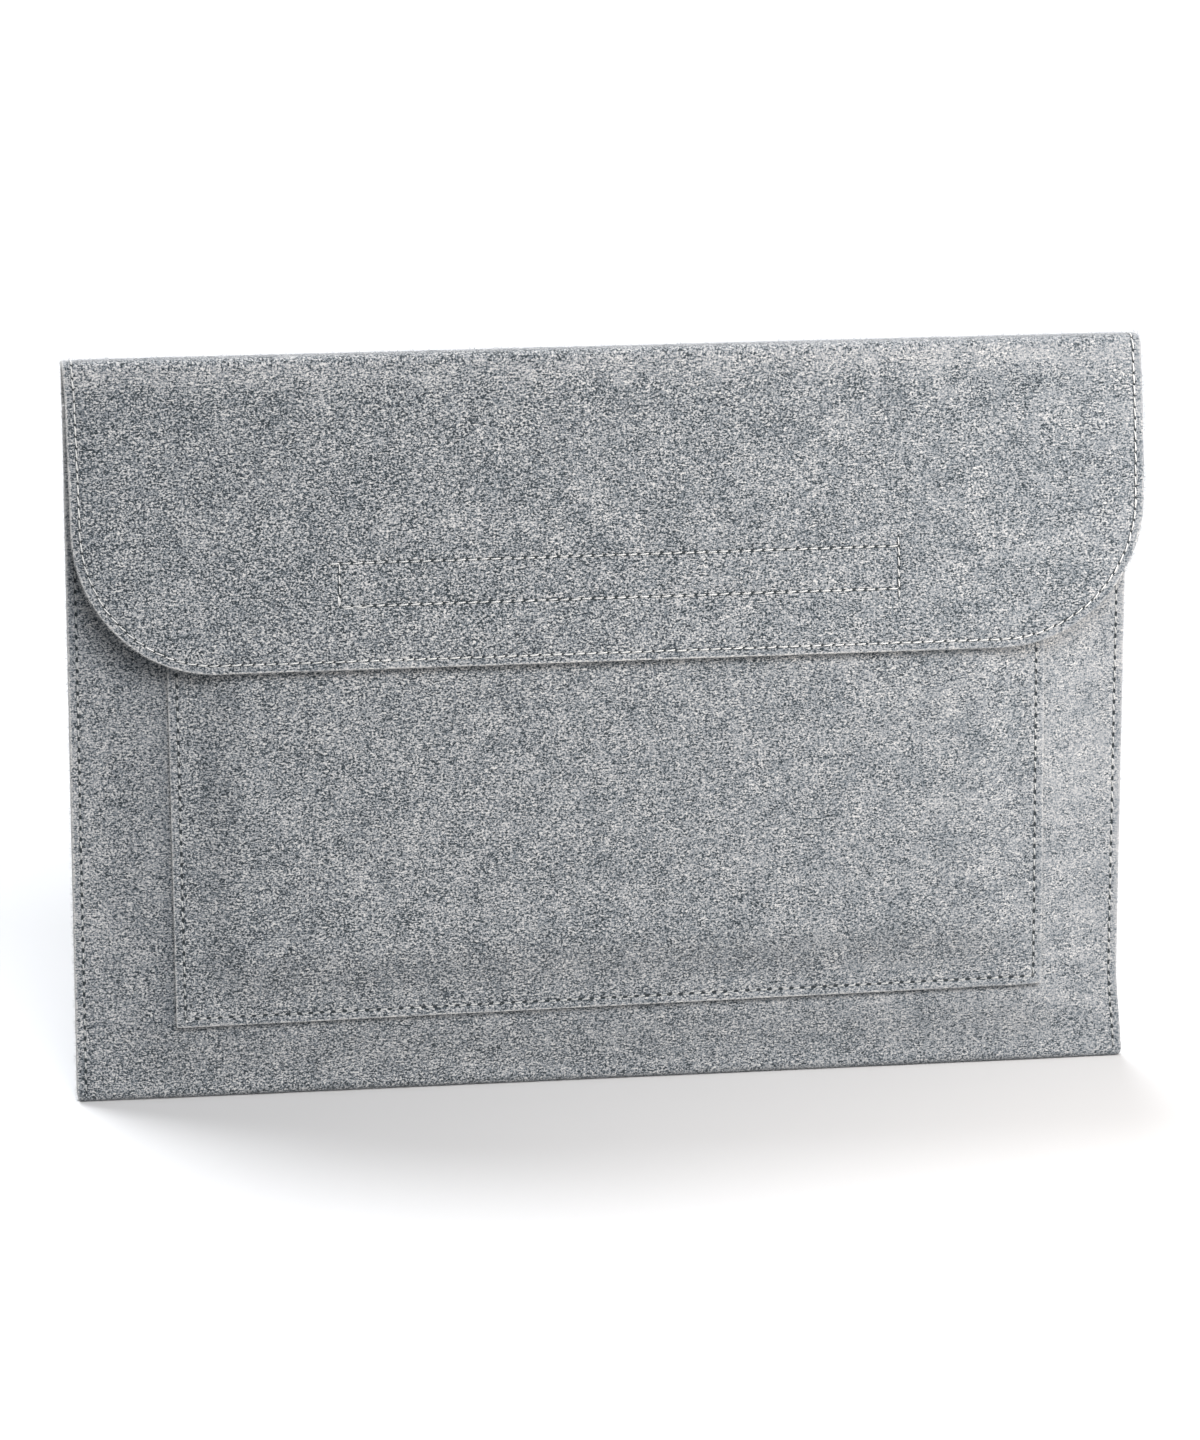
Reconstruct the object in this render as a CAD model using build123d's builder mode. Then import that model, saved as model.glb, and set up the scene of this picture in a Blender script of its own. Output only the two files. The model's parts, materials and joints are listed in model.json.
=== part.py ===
from build123d import *

import math
import os

os.makedirs("parts", exist_ok=True)

# Laptop sleeve of pressed felt, standing on its bottom fold with the flap closed.
# X runs along the width, Z is up, and the flap and the pocket face -Y.
# The origin is the bottom centre of the whole sleeve. Lengths are in millimetres.

# ---- driving dimensions --------------------------------------------------------------------
width = 370.0               # cut width of the felt
height = 260.0              # bottom fold to top fold
felt = 2.5                  # felt thickness
layer_gap = 0.1             # room between two felt layers that are sewn together

margin = 8.0                # flat strip along each side, where front and back are sewn together
slope = 20.0                # from that strip to the flat middle of a panel
front_bulge = 6.0           # how far the front panel's middle stands forward of its side strips
strap_bulge = 8.3           # the same, just below the loop strip
mouth_bulge = 2.1           # the same, at the top edge of the front panel
back_bulge = 6.5            # how far the back panel's middle stands behind its side strips
crease_bulge = 3.0          # the same, at the top fold
base_bulge = 3.0            # the same, at the bottom fold

step_low = 165.0            # the front panel is flat up to here, behind the pocket
step_high = 171.5           # and comes forward to here, under the closure
mouth_height = 245.0        # top edge of the front panel, hidden under the flap
back_full = 28.5            # the back panel bulges fully from here
shoulder = 225.0            # and starts to lean forward here

fold_depth = 12.0           # outside depth of the top fold
crease_cut = 1.5            # from a crease's axis to the end of the panel that turns on it
flap_end = 154.3            # height of the flap's lower edge
flap_corner = 50.0          # radius of the flap's lower corners
flap_lean = math.radians(7.3)   # the flap hangs this far out of the vertical

pocket_width = 304.5
pocket_bottom = 28.5
pocket_top = 162.5
pocket_shift = 1.4          # the pocket is sewn on this far right of the middle
pocket_margin = 6.5         # flat strip where the pocket is sewn to the front panel
pocket_slope = 14.0
pocket_room = 4.7           # depth of the pocket's space
sewn_room = 0.02            # the same along its sewn lower edge, where it lies flat

strip_length = 198.0        # hook and loop strips
strip_width = 19.5
strip_thickness = 1.2
strip_centre = 183.4        # height of the closure's middle
strip_shift = 3.0           # and how far it is sewn right of the middle

seam_inset = 3.0            # from a cut edge to its line of stitches
pocket_inset = 3.1
strip_inset = 2.5
thread = 0.6                # width of a thread
thread_rise = 0.25          # how far a thread stands above what it is sewn to
base_round = 1.5            # outside rounding of the bottom fold
tooth = 0.05                # room under the pocket and the strips

# ---- places worked out from them -----------------------------------------------------------
half = width / 2
crease_z = height - felt / 2
crease_span = fold_depth - felt
flap_length = (crease_z - flap_end) / math.cos(flap_lean)

# Depths are first counted from the plane of the side seams, then moved so that the sleeve is
# centred on Y = 0.
back_outer = felt + back_bulge
back_crease = felt + crease_bulge - felt / 2
front_crease = back_crease - crease_span
flap_front = front_crease - flap_length * math.sin(flap_lean) - felt / 2 * math.cos(flap_lean)
seam_y = -(back_outer + flap_front) / 2

back_crease_y = seam_y + back_crease
front_crease_y = seam_y + front_crease
front_flat_y = seam_y - felt - front_bulge          # outer face of the front panel's flat middle
strap_low_y = seam_y - felt - strap_bulge
mouth_y = seam_y - felt - mouth_bulge
pocket_sewn_y = front_flat_y - tooth - felt         # outer face of the pocket's sewn strip

flap_plane = Plane(
    origin=(0, front_crease_y, crease_z),
    x_dir=(1, 0, 0),
    z_dir=(0, -math.cos(flap_lean), math.sin(flap_lean)),
)
strap_tilt = math.atan2(mouth_y - strap_low_y, mouth_height - step_high)
strap_plane = Plane(
    origin=(0, strap_low_y, step_high),
    x_dir=(1, 0, 0),
    z_dir=(0, -math.cos(strap_tilt), math.sin(strap_tilt)),
)
closure_drop = (crease_z - strip_centre) / math.cos(flap_lean)      # crease to hook strip, on the flap
closure_rise = (strip_centre - step_high) / math.cos(strap_tilt)    # on the front panel


def facing_front(x, y):
    """A sketch plane at that x and depth whose normal is -Y and whose own y axis is Z."""
    return Plane(origin=(x, y, 0), x_dir=(1, 0, 0), z_dir=(0, -1, 0))


def facing_back(x, y):
    """A sketch plane at that x and depth whose normal is +Y; its own x axis is -X."""
    return Plane(origin=(x, y, 0), x_dir=(-1, 0, 0), z_dir=(0, 1, 0))


def band(edge, knee, flat, low, bulge, thickness, middle=0):
    """Closed outline of a felt layer cut across: two edge strips, two slopes, a flat middle."""
    half_line = [(edge, low), (knee, low), (flat, low + bulge)]
    near = [(middle - x, y) for x, y in half_line]
    near += [(middle + x, y) for x, y in reversed(half_line)]
    far = [(x, y + thickness) for x, y in reversed(near)]
    return near + far


def finish(part, label):
    part.label = label
    export_step(part, f"parts/{label}.step")


# ---- the felt blank: back, bottom fold, front ---------------------------------------------
knee = half - margin
flat = knee - slope

with BuildPart() as back_panel:
    for z, bulge in (
        (felt, base_bulge),
        (back_full, back_bulge),
        (shoulder, back_bulge),
        (crease_z - crease_cut, crease_bulge),
    ):
        with BuildSketch(Plane.XY.offset(z)):
            with BuildLine():
                Polyline(*band(half, knee, flat, seam_y + layer_gap, bulge, felt - layer_gap), close=True)
            make_face()
    loft(ruled=True)
finish(back_panel.part, "back_panel")

with BuildPart() as front_panel:
    for z, bulge in (
        (felt, front_bulge),
        (step_low, front_bulge),
        (step_high, strap_bulge),
        (mouth_height, mouth_bulge),
    ):
        with BuildSketch(Plane.XY.offset(z)):
            with BuildLine():
                Polyline(*band(half, knee, flat, seam_y - felt, -bulge, felt), close=True)
            make_face()
    loft(ruled=True)
finish(front_panel.part, "front_panel")

with BuildPart() as bottom_fold:
    with BuildSketch(Plane.XY):
        with BuildLine():
            front_line = [
                (-half, seam_y - felt),
                (-knee, seam_y - felt),
                (-flat, front_flat_y),
                (flat, front_flat_y),
                (knee, seam_y - felt),
                (half, seam_y - felt),
            ]
            back_line = [
                (half, seam_y + felt),
                (knee, seam_y + felt),
                (flat, seam_y + felt + base_bulge),
                (-flat, seam_y + felt + base_bulge),
                (-knee, seam_y + felt),
                (-half, seam_y + felt),
            ]
            Polyline(*front_line, *back_line, close=True)
        make_face()
    extrude(amount=felt)
    underside = bottom_fold.faces().sort_by(Axis.Z)[0]
    long_edges = underside.edges().sort_by(SortBy.LENGTH)[-2:]
    chamfer(long_edges, length=base_round)
finish(bottom_fold.part, "bottom_fold")

# ---- slip pocket ----------------------------------------------------------------------------
pocket_half = pocket_width / 2
pocket_knee = pocket_half - pocket_margin
pocket_flat = pocket_knee - pocket_slope

with BuildPart() as pocket_panel:
    for z, room in (
        (pocket_bottom, sewn_room),
        (pocket_bottom + pocket_margin, sewn_room),
        (pocket_bottom + pocket_margin + pocket_slope, pocket_room),
        (pocket_top, pocket_room),
    ):
        with BuildSketch(Plane.XY.offset(z)):
            with BuildLine():
                Polyline(
                    *band(pocket_half, pocket_knee, pocket_flat, pocket_sewn_y, -room, felt, pocket_shift),
                    close=True,
                )
            make_face()
    loft(ruled=True)
finish(pocket_panel.part, "pocket_panel")

# ---- top fold and flap ----------------------------------------------------------------------
with BuildPart() as flap_fold:
    with BuildSketch(Plane.YZ.offset(-half)):
        with Locations(((back_crease_y + front_crease_y) / 2, crease_z)):
            SlotCenterToCenter(crease_span, felt)
    extrude(amount=width)
finish(flap_fold.part, "flap_fold")


def flap_outline(inset, top):
    """Rounded U of the flap: down one side, along the lower edge and up the other side."""
    side = half - inset
    low = -flap_length + inset
    radius = flap_corner - inset
    Line((-side, top), (-side, low + radius))
    RadiusArc((-side, low + radius), (-side + radius, low), -radius)
    Line((-side + radius, low), (side - radius, low))
    RadiusArc((side - radius, low), (side, low + radius), -radius)
    Line((side, low + radius), (side, top))


with BuildPart() as flap_panel:
    with BuildSketch(flap_plane):
        with BuildLine():
            flap_outline(0, -crease_cut)
            Line((half, -crease_cut), (-half, -crease_cut))
        make_face()
    extrude(amount=felt / 2, both=True)
finish(flap_panel.part, "flap_panel")

# ---- hook and loop closure ------------------------------------------------------------------
with BuildPart() as hook_strip:
    with BuildSketch(flap_plane.offset(-felt / 2 - tooth)):
        with Locations((strip_shift, -closure_drop)):
            Rectangle(strip_length, strip_width)
    extrude(amount=-strip_thickness)
finish(hook_strip.part, "hook_strip")

with BuildPart() as loop_strip:
    with BuildSketch(strap_plane.offset(tooth)):
        with Locations((strip_shift, closure_rise)):
            Rectangle(strip_length, strip_width)
    extrude(amount=strip_thickness)
finish(loop_strip.part, "loop_strip")


# ---- threads --------------------------------------------------------------------------------
def thread_box(centre_v):
    """Closed rectangle of stitches near the edge of a strip."""
    with Locations((strip_shift, centre_v)):
        Rectangle(strip_length - 2 * strip_inset + thread, strip_width - 2 * strip_inset + thread)
        Rectangle(
            strip_length - 2 * strip_inset - thread,
            strip_width - 2 * strip_inset - thread,
            mode=Mode.SUBTRACT,
        )


def pocket_u(side, low, top):
    """U of stitches along the pocket's three sewn edges."""
    FilletPolyline((-side, top), (-side, low), (side, low), (side, top), radius=1.0)


# A lockstitch is two threads: the needle thread lies on the outside, the bobbin thread inside.
seam_low = felt + 1.0
seam_high = mouth_height - 1.0
for side_name, sign in (("left", -1), ("right", 1)):
    with BuildPart() as needle_thread:
        with BuildSketch(facing_front(0, seam_y - felt)):
            with Locations((sign * (half - seam_inset), (seam_low + seam_high) / 2)):
                Rectangle(thread, seam_high - seam_low)
        extrude(amount=thread_rise)
    finish(needle_thread.part, f"{side_name}_seam_needle_thread")
    with BuildPart() as bobbin_thread:
        with BuildSketch(facing_back(0, seam_y + felt)):
            with Locations((-sign * (half - seam_inset), (seam_low + seam_high) / 2)):
                Rectangle(thread, seam_high - seam_low)
        extrude(amount=thread_rise)
    finish(bobbin_thread.part, f"{side_name}_seam_bobbin_thread")

pocket_stitch_low = pocket_bottom + pocket_inset
pocket_stitch_side = pocket_half - pocket_inset
pocket_stitch_top = pocket_top - 1.0
for label, plane in (
    ("pocket_needle_thread", facing_front(pocket_shift, pocket_sewn_y - sewn_room)),
    ("pocket_bobbin_thread", facing_back(pocket_shift, front_flat_y + felt)),
):
    with BuildPart() as pocket_thread:
        with BuildSketch(plane):
            with BuildLine():
                pocket_u(pocket_stitch_side, pocket_stitch_low, pocket_stitch_top)
            trace(line_width=thread)
        extrude(amount=thread_rise)
    finish(pocket_thread.part, label)

loop_face = strap_plane.offset(tooth + strip_thickness)
strap_inside = strap_plane.offset(-felt * math.cos(strap_tilt))
flap_outside = flap_plane.offset(felt / 2)
flap_inside = flap_plane.offset(-felt / 2)
hook_face = flap_plane.offset(-felt / 2 - tooth - strip_thickness)

for label, plane, centre_v, rise in (
    ("loop_strip_needle_thread", loop_face, closure_rise, thread_rise),
    ("loop_strip_bobbin_thread", strap_inside, closure_rise, -thread_rise),
    ("hook_strip_needle_thread", flap_outside, -closure_drop, thread_rise),
    ("hook_strip_bobbin_thread", hook_face, -closure_drop, -thread_rise),
):
    with BuildPart() as strip_thread:
        with BuildSketch(plane):
            thread_box(centre_v)
        extrude(amount=rise)
    finish(strip_thread.part, label)

for label, plane, rise in (
    ("flap_edge_needle_thread", flap_outside, thread_rise),
    ("flap_edge_bobbin_thread", flap_inside, -thread_rise),
):
    with BuildPart() as edge_thread:
        with BuildSketch(plane):
            with BuildLine():
                flap_outline(seam_inset, -crease_cut - 1.0)
            trace(line_width=thread)
        extrude(amount=rise)
    finish(edge_thread.part, label)

with BuildPart() as fold_thread:
    with BuildSketch(Plane.XY.offset(height)):
        with Locations(*[
            (sign * (half - seam_inset), (back_crease_y + front_crease_y) / 2) for sign in (-1, 1)
        ]):
            Rectangle(thread, crease_span)
    extrude(amount=thread_rise)
finish(fold_thread.part, "fold_edge_thread")
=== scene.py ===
import json
import math

import bpy
import numpy as np
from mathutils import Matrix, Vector, noise


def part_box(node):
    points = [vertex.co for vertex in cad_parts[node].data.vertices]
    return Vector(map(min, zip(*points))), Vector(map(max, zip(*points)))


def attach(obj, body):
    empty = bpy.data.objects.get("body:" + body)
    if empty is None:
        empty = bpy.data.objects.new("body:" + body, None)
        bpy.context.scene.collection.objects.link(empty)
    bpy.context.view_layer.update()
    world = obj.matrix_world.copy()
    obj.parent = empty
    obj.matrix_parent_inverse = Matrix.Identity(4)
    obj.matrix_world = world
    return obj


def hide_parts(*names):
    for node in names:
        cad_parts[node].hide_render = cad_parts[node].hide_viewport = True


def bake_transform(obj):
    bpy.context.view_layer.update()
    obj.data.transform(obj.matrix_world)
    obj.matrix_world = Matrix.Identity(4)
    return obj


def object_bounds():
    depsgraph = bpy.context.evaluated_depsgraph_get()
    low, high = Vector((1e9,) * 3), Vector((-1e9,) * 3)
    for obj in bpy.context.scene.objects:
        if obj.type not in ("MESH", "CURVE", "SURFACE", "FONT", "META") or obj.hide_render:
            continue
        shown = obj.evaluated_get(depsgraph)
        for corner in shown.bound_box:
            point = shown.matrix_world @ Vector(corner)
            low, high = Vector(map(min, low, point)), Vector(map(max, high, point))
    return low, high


# The looks of the felt laptop sleeve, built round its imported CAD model.
# Shapes are worked out in millimetres in the frame's own axes and written to meshes in metres.
# On a flat cut, u runs across from its middle to the right, and v or q along it.
MM = 0.001

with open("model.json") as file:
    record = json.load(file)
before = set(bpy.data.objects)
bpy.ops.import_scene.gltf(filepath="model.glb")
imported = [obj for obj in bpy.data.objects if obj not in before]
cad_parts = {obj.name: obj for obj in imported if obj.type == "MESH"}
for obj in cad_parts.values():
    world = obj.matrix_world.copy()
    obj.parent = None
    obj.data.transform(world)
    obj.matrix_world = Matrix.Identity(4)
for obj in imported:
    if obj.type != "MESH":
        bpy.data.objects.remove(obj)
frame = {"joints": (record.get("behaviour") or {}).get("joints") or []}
cad_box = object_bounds()


# ---- places read from the frame ----
def box_mm(node):
    low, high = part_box(node)
    return low / MM, high / MM


joint_at = {j["name"]: Vector(j["pos_m"]) / MM for j in frame["joints"]}
back_crease = joint_at["back_crease"]
front_crease = joint_at["front_crease"]

fold_low, fold_high = box_mm("flap_fold")
front_low, front_high = box_mm("front_panel")
back_low, back_high = box_mm("back_panel")
flap_low, flap_high = box_mm("flap_panel")
pocket_low, pocket_high = box_mm("pocket_panel")
hook_low, hook_high = box_mm("hook_strip")
loop_low, loop_high = box_mm("loop_strip")

seam_press = 0.05          # the side seams press the back's felt this far forward
flap_lean = math.radians(7.3)
flap_corner = 50.0

felt = fold_high.z - fold_low.z
half = back_high.x
mouth_z = front_high.z
crease_z = front_crease.z
front_seam_y = front_high.y - felt / 2          # middle of the front felt at the side seams
back_seam_y = back_low.y + felt / 2 - seam_press
split_y = (back_crease.y + front_crease.y) / 2  # the felt's two meshes meet here, on the top fold
flap_length = (crease_z - flap_low.z - felt / 2 * math.sin(flap_lean)) / math.cos(flap_lean)
face = felt / 2            # from the middle of the felt to its faces

# ---- shape of the soft sleeve ----
# A foot is the height where a change starts, and a rise is how much height it takes.
crease_radius = 2.5        # of the felt's middle, at the top fold
side_strip = 6.5           # flat strip along each side, at the seam
side_slope = 32.0          # from that strip to the full bulge
base_front = 1.2           # bulge of the front and the back where they meet the bottom fold
base_back = 1.3
base_foot, base_rise = 4.0, 27.0
front_bulge = 6.0
strap_bulge = 1.6          # the front's extra bulge under the loop tape
strap_foot, strap_rise = 155.0, 25.0
mouth_drop = 5.5           # what it loses towards the compartment's mouth
mouth_foot, mouth_rise = 190.0, 55.0
back_bulge = back_high.y - felt / 2 - back_seam_y
crease_bulge = back_crease.y - back_seam_y
neck_foot, neck_rise = 212.0, 42.0       # the back draws in to the top fold
free_foot, free_rise = 236.0, 19.0       # and its sides come free of the seams
pinch = 2.3                # the right side draws in by this much between its corners,
pinch_out = 0.5            # and stands out by this much at them
pinch_reach = 45.0
pinch_foot, pinch_rise = -6.0, 42.0
pinch_top, pinch_fall = 178.0, 24.0
base_tuck = 0.9            # both ends of the bottom fold draw in
curl_left, curl_right = 1.6, 0.4         # the flap's sides curl towards its front
left_reach = 60.0
cut_bevel = 0.35           # softness of a cut edge
seam_inset = 3.0
pocket_inset = 3.1
strip_inset = 2.5
stitch = 3.9               # length of one stitch
thread_width = 0.48
fibre_width = 0.085
tape_thick = 0.65


def ease(t):
    """0 up to t = 0, 1 from t = 1 on, and a smooth rise between."""
    t = np.clip(t, 0, 1)
    return t * t * (3 - 2 * t)


def rising(value, foot, rise):
    return ease((value - foot) / rise)


def unit(vectors):
    return vectors / np.linalg.norm(vectors, axis=-1, keepdims=True)


def across(u):
    """0 on the sewn side strips, 1 over the middle of a panel."""
    return ease((half - side_strip - np.abs(u)) / side_slope)


def base_radius(u):
    """Radius of the bottom fold, at the middle of the felt."""
    return (back_seam_y - front_seam_y) / 2 + across(u) * (base_front + base_back) / 2


def base_centre_z(u):
    return felt / 2 + base_radius(u)


def front_y(u, z):
    bulge = base_front + (front_bulge - base_front) * rising(z, base_foot, base_rise)
    bulge += strap_bulge * rising(z, strap_foot, strap_rise)
    bulge -= mouth_drop * rising(z, mouth_foot, mouth_rise)
    return front_seam_y - across(u) * bulge


def back_y(u, z):
    bulge = base_back + (back_bulge - base_back) * rising(z, base_foot, base_rise)
    bulge -= (back_bulge - crease_bulge) * rising(z, neck_foot, neck_rise)
    free = rising(z, free_foot, free_rise)
    return back_seam_y + bulge * (across(u) * (1 - free) + free)


def drawn_in(u, z):
    """Where a point of the sides goes: the right one in between its corners, both in at the floor."""
    near_right = rising(u, half - pinch_reach, pinch_reach)
    middle = rising(z, pinch_foot, pinch_rise) * (1 - rising(z, pinch_top, pinch_fall))
    ends = rising(np.abs(u), half - 5, 5) * (1 - rising(z, 0, 3))
    return u + near_right * (pinch_out - (pinch + pinch_out) * middle) - base_tuck * np.sign(u) * ends


base_nominal = float(base_centre_z(0.0))
front_length = mouth_z - base_nominal
base_length = math.pi * float(base_radius(0.0))
back_length = crease_z - crease_radius - base_nominal
bend_length = crease_radius * math.pi / 2
strip_length = back_crease.y - crease_radius - split_y
body_stops = np.cumsum([0, front_length, base_length, back_length, bend_length, strip_length])
body_length = float(body_stops[-1])
base_v = (body_stops[1] + body_stops[2]) / 2     # the middle of the bottom fold
bend_v = body_stops[3] + bend_length / 2         # the middle of the bend at the back crease


def front_v(u, z):
    """Place along the body's felt of a height on the front panel."""
    return front_length * (mouth_z - z) / (mouth_z - base_centre_z(u))


def back_v(u, z):
    rise = (z - base_centre_z(u)) / (crease_z - crease_radius - base_centre_z(u))
    return body_stops[2] + back_length * rise


def body_surface(u, v):
    """Middle of the body's felt: down the front, round the bottom, up the back and over the top."""
    centre_z = base_centre_z(u)
    radius = base_radius(u)
    front_z = mouth_z - (mouth_z - centre_z) * v / front_length
    turn = np.clip((v - body_stops[1]) / base_length, 0, 1) * math.pi
    base_y = (front_y(u, centre_z) + back_y(u, centre_z)) / 2 - radius * np.cos(turn)
    base_z = centre_z - radius * np.sin(turn)
    up = (v - body_stops[2]) / back_length
    back_z = centre_z + (crease_z - crease_radius - centre_z) * up
    bend = np.clip((v - body_stops[3]) / bend_length, 0, 1) * math.pi / 2
    bend_y = back_crease.y - crease_radius * (1 - np.cos(bend))
    bend_z = crease_z - crease_radius * (1 - np.sin(bend))
    top_y = back_crease.y - crease_radius - (v - body_stops[4])
    zones = [v < body_stops[1], v < body_stops[2], v < body_stops[3], v < body_stops[4]]
    y = np.select(zones, [front_y(u, front_z), base_y, back_y(u, back_z), bend_y], top_y)
    z = np.select(zones, [front_z, base_z, back_z, bend_z], crease_z + 0 * v)
    return np.stack([drawn_in(u, z), y, z], axis=1)


flap_turn = math.pi / 2 - flap_lean
flap_tangent = crease_radius * math.tan(flap_turn / 2)
flap_bend_start = flap_tangent - crease_radius * flap_turn
flap_start = flap_bend_start - (split_y - front_crease.y - flap_tangent)


def flap_surface(u, q):
    """Middle of the flap's felt: from the middle of the top fold, over the front crease, and down."""
    turn = np.clip((q - flap_bend_start) / crease_radius, 0, flap_turn)
    top_y = front_crease.y + flap_tangent + flap_bend_start - q
    bend_y = front_crease.y + flap_tangent - crease_radius * np.sin(turn)
    bend_z = crease_z - crease_radius * (1 - np.cos(turn))
    hang_y = front_crease.y - q * math.sin(flap_lean)
    hang_z = crease_z - q * math.cos(flap_lean)
    zones = [q < flap_bend_start, q < flap_tangent]
    y = np.select(zones, [top_y, bend_y], hang_y)
    z = np.select(zones, [crease_z + 0 * q, bend_z], hang_z)
    down = np.clip(q / flap_length, 0, 1)
    left = rising(-u, half - left_reach, left_reach)
    right = rising(u, half - pinch_reach, pinch_reach)
    curl = curl_left * left * ease(down * 1.4) + curl_right * right * ease(down)
    drawn_left = 0.5 * ease(q / 12) + 0.6 * ease(down * 1.8)
    drawn_right = pinch_out + 0.7 * np.sin(math.pi * np.clip(down * 1.35, 0, 1))
    x = u + drawn_left * left + drawn_right * right
    return np.stack([x, y - curl * math.cos(flap_lean), z], axis=1)


pocket_width = pocket_high.x - pocket_low.x
pocket_height = pocket_high.z - pocket_low.z
pocket_x = (pocket_high.x + pocket_low.x) / 2
pocket_z = pocket_low.z + 0.8      # the middle of its lower edge
pocket_tilt = math.radians(0.5)    # it is sewn on a little tilted
pocket_strip = 5.5         # flat strip along its seam
pocket_slope, pocket_rise = 20.0, 22.0   # from that strip to its full bulge, across and up
pocket_room = 4.4
pocket_gap = 0.12


def pocket_surface(u, v):
    """Middle of the pocket's felt: u from its middle to the right, v up from its lower edge."""
    x = pocket_x + u * math.cos(pocket_tilt) - v * math.sin(pocket_tilt)
    z = pocket_z + v * math.cos(pocket_tilt) + u * math.sin(pocket_tilt)
    open_side = ease((pocket_width / 2 - pocket_strip - np.abs(u)) / pocket_slope)
    open_base = rising(v, pocket_strip, pocket_rise)
    y = front_y(x, z) - felt - pocket_gap - pocket_room * open_side * open_base
    return np.stack([x, y, z], axis=1)


# ---- lines and meshes on the flat cut ----
def arc(centre, radius, start, end, steps=30):
    """Points on a circle of the flat cut, angles in degrees from +u towards +v."""
    a = np.radians(np.linspace(start, end, steps + 1))
    return [(centre[0] + radius * math.cos(t), centre[1] + radius * math.sin(t)) for t in a]


corner_x, corner_q = half - flap_corner, flap_length - flap_corner


def flap_u(inset):
    """The flap's rounded outline, that far inside its cut edge."""
    side = half - inset
    left = arc((-corner_x, corner_q), flap_corner - inset, 180, 90)
    right = arc((corner_x, corner_q), flap_corner - inset, 90, 0)
    return [(-side, flap_start), *left, *right, (side, flap_start)]


def measured(line):
    """A line's points, and how far along it each is."""
    p = np.array(line, float)
    return p, np.concatenate([[0], np.cumsum(np.linalg.norm(np.diff(p, axis=0), axis=1))])


def nearest(lines, uv):
    """Distance from each point to the nearest line, and that place along it in stitches."""
    best, along = np.full(len(uv), 1e9), np.zeros(len(uv))
    for line in lines:
        p, reached = measured(line)
        pitch = reached[-1] / max(1, round(reached[-1] / stitch))
        for a, b, long, before in zip(p, p[1:], np.diff(reached), reached):
            t = np.clip((uv - a) @ (b - a) / long**2, 0, 1)
            away = np.linalg.norm(uv - a - t[:, None] * (b - a), axis=1)
            closer = away < best
            best = np.where(closer, away, best)
            along = np.where(closer, (before + t * long) / pitch, along)
    return best, along


def stations(low, high, step, fine=()):
    """Places from low to high, step apart, and nearer each other round each (centre, reach, step)."""
    probe = np.linspace(low, high, 6000)
    density = np.full_like(probe, 1 / step)
    for centre, reach, small in fine:
        density = np.maximum(density, np.exp(-(((probe - centre) / reach) ** 2)) / small)
    count = np.concatenate([[0], np.cumsum((density[1:] + density[:-1]) / 2 * np.diff(probe))])
    places = np.interp(np.linspace(0, count[-1], round(count[-1]) + 1), count, probe)
    for centre, _, _ in fine:
        if low < centre < high:
            places[1 + np.argmin(np.abs(places[1:-1] - centre))] = centre
    return places


def grid_faces(rows, columns):
    i, j = np.meshgrid(np.arange(rows - 1), np.arange(columns - 1), indexing="ij")
    a = (i * columns + j).ravel()
    return np.stack([a, a + 1, a + columns + 1, a + columns], axis=1)


def tube_faces(count, rings, sides):
    """Faces of that many closed tubes, whose points follow one another ring by ring."""
    tube = np.arange(count)[:, None, None] * rings * sides
    ring = np.arange(rings - 1)[None, :, None] * sides
    side = np.arange(sides)[None, None, :]
    a, b = tube + ring + side, tube + ring + (side + 1) % sides
    walls = np.stack([a, b, b + sides, a + sides], axis=3).reshape(-1, 4).tolist()
    starts = (tube[:, 0] + side[0, :, ::-1]).tolist()
    ends = (tube[:, 0] + (rings - 1) * sides + side[0]).tolist()
    return walls + starts + ends


def weld(parts):
    """Joins flat patches, each points in rows and columns, into one flat mesh, faces all one way up."""
    points, quads, count = [], [], 0
    for patch in parts:
        rows, columns = patch.shape[:2]
        points.append(patch.reshape(-1, 2))
        quads.append(grid_faces(rows, columns) + count)
        count += rows * columns
    points, quads = np.concatenate(points), np.concatenate(quads)
    _, first, index = np.unique(np.round(points, 3), axis=0, return_index=True, return_inverse=True)
    points, quads = points[first], index.ravel()[quads]
    faces = []
    for q in quads:
        corners = [int(v) for k, v in enumerate(q) if v != q[k - 1]]
        if len(set(corners)) < 3:
            continue
        x, y = points[corners].T
        turn = np.sum(x * np.roll(y, -1) - y * np.roll(x, -1))
        faces.append(corners if turn > 0 else corners[::-1])
    return points, faces


def rim_of(faces):
    """The outline of a flat mesh, as its vertices in order, counter-clockwise."""
    sides = {(a, b) for corners in faces for a, b in zip(corners, corners[1:] + corners[:1])}
    after = {a: b for a, b in sides if (b, a) not in sides}
    start = min(after)
    loop = [start]
    while after[loop[-1]] != start:
        loop.append(after[loop[-1]])
    return loop


def out_steps(ring, joined_v):
    """The step out of a counter-clockwise outline at each of its points. Nothing steps out of the
    end at joined_v, where the sheet goes on as another piece."""
    ahead = np.roll(ring, -1, axis=0) - ring
    out_of = unit(np.stack([ahead[:, 1], -ahead[:, 0]], axis=1))
    if joined_v is not None:
        on_joint = np.abs(ring[:, 1] - joined_v) < 1e-6
        out_of[on_joint & np.roll(on_joint, -1)] = 0
    behind = np.roll(out_of, 1, axis=0)
    together = 1 + (out_of * behind).sum(1)
    return (out_of + behind) / np.maximum(together, 0.5)[:, None]


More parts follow.
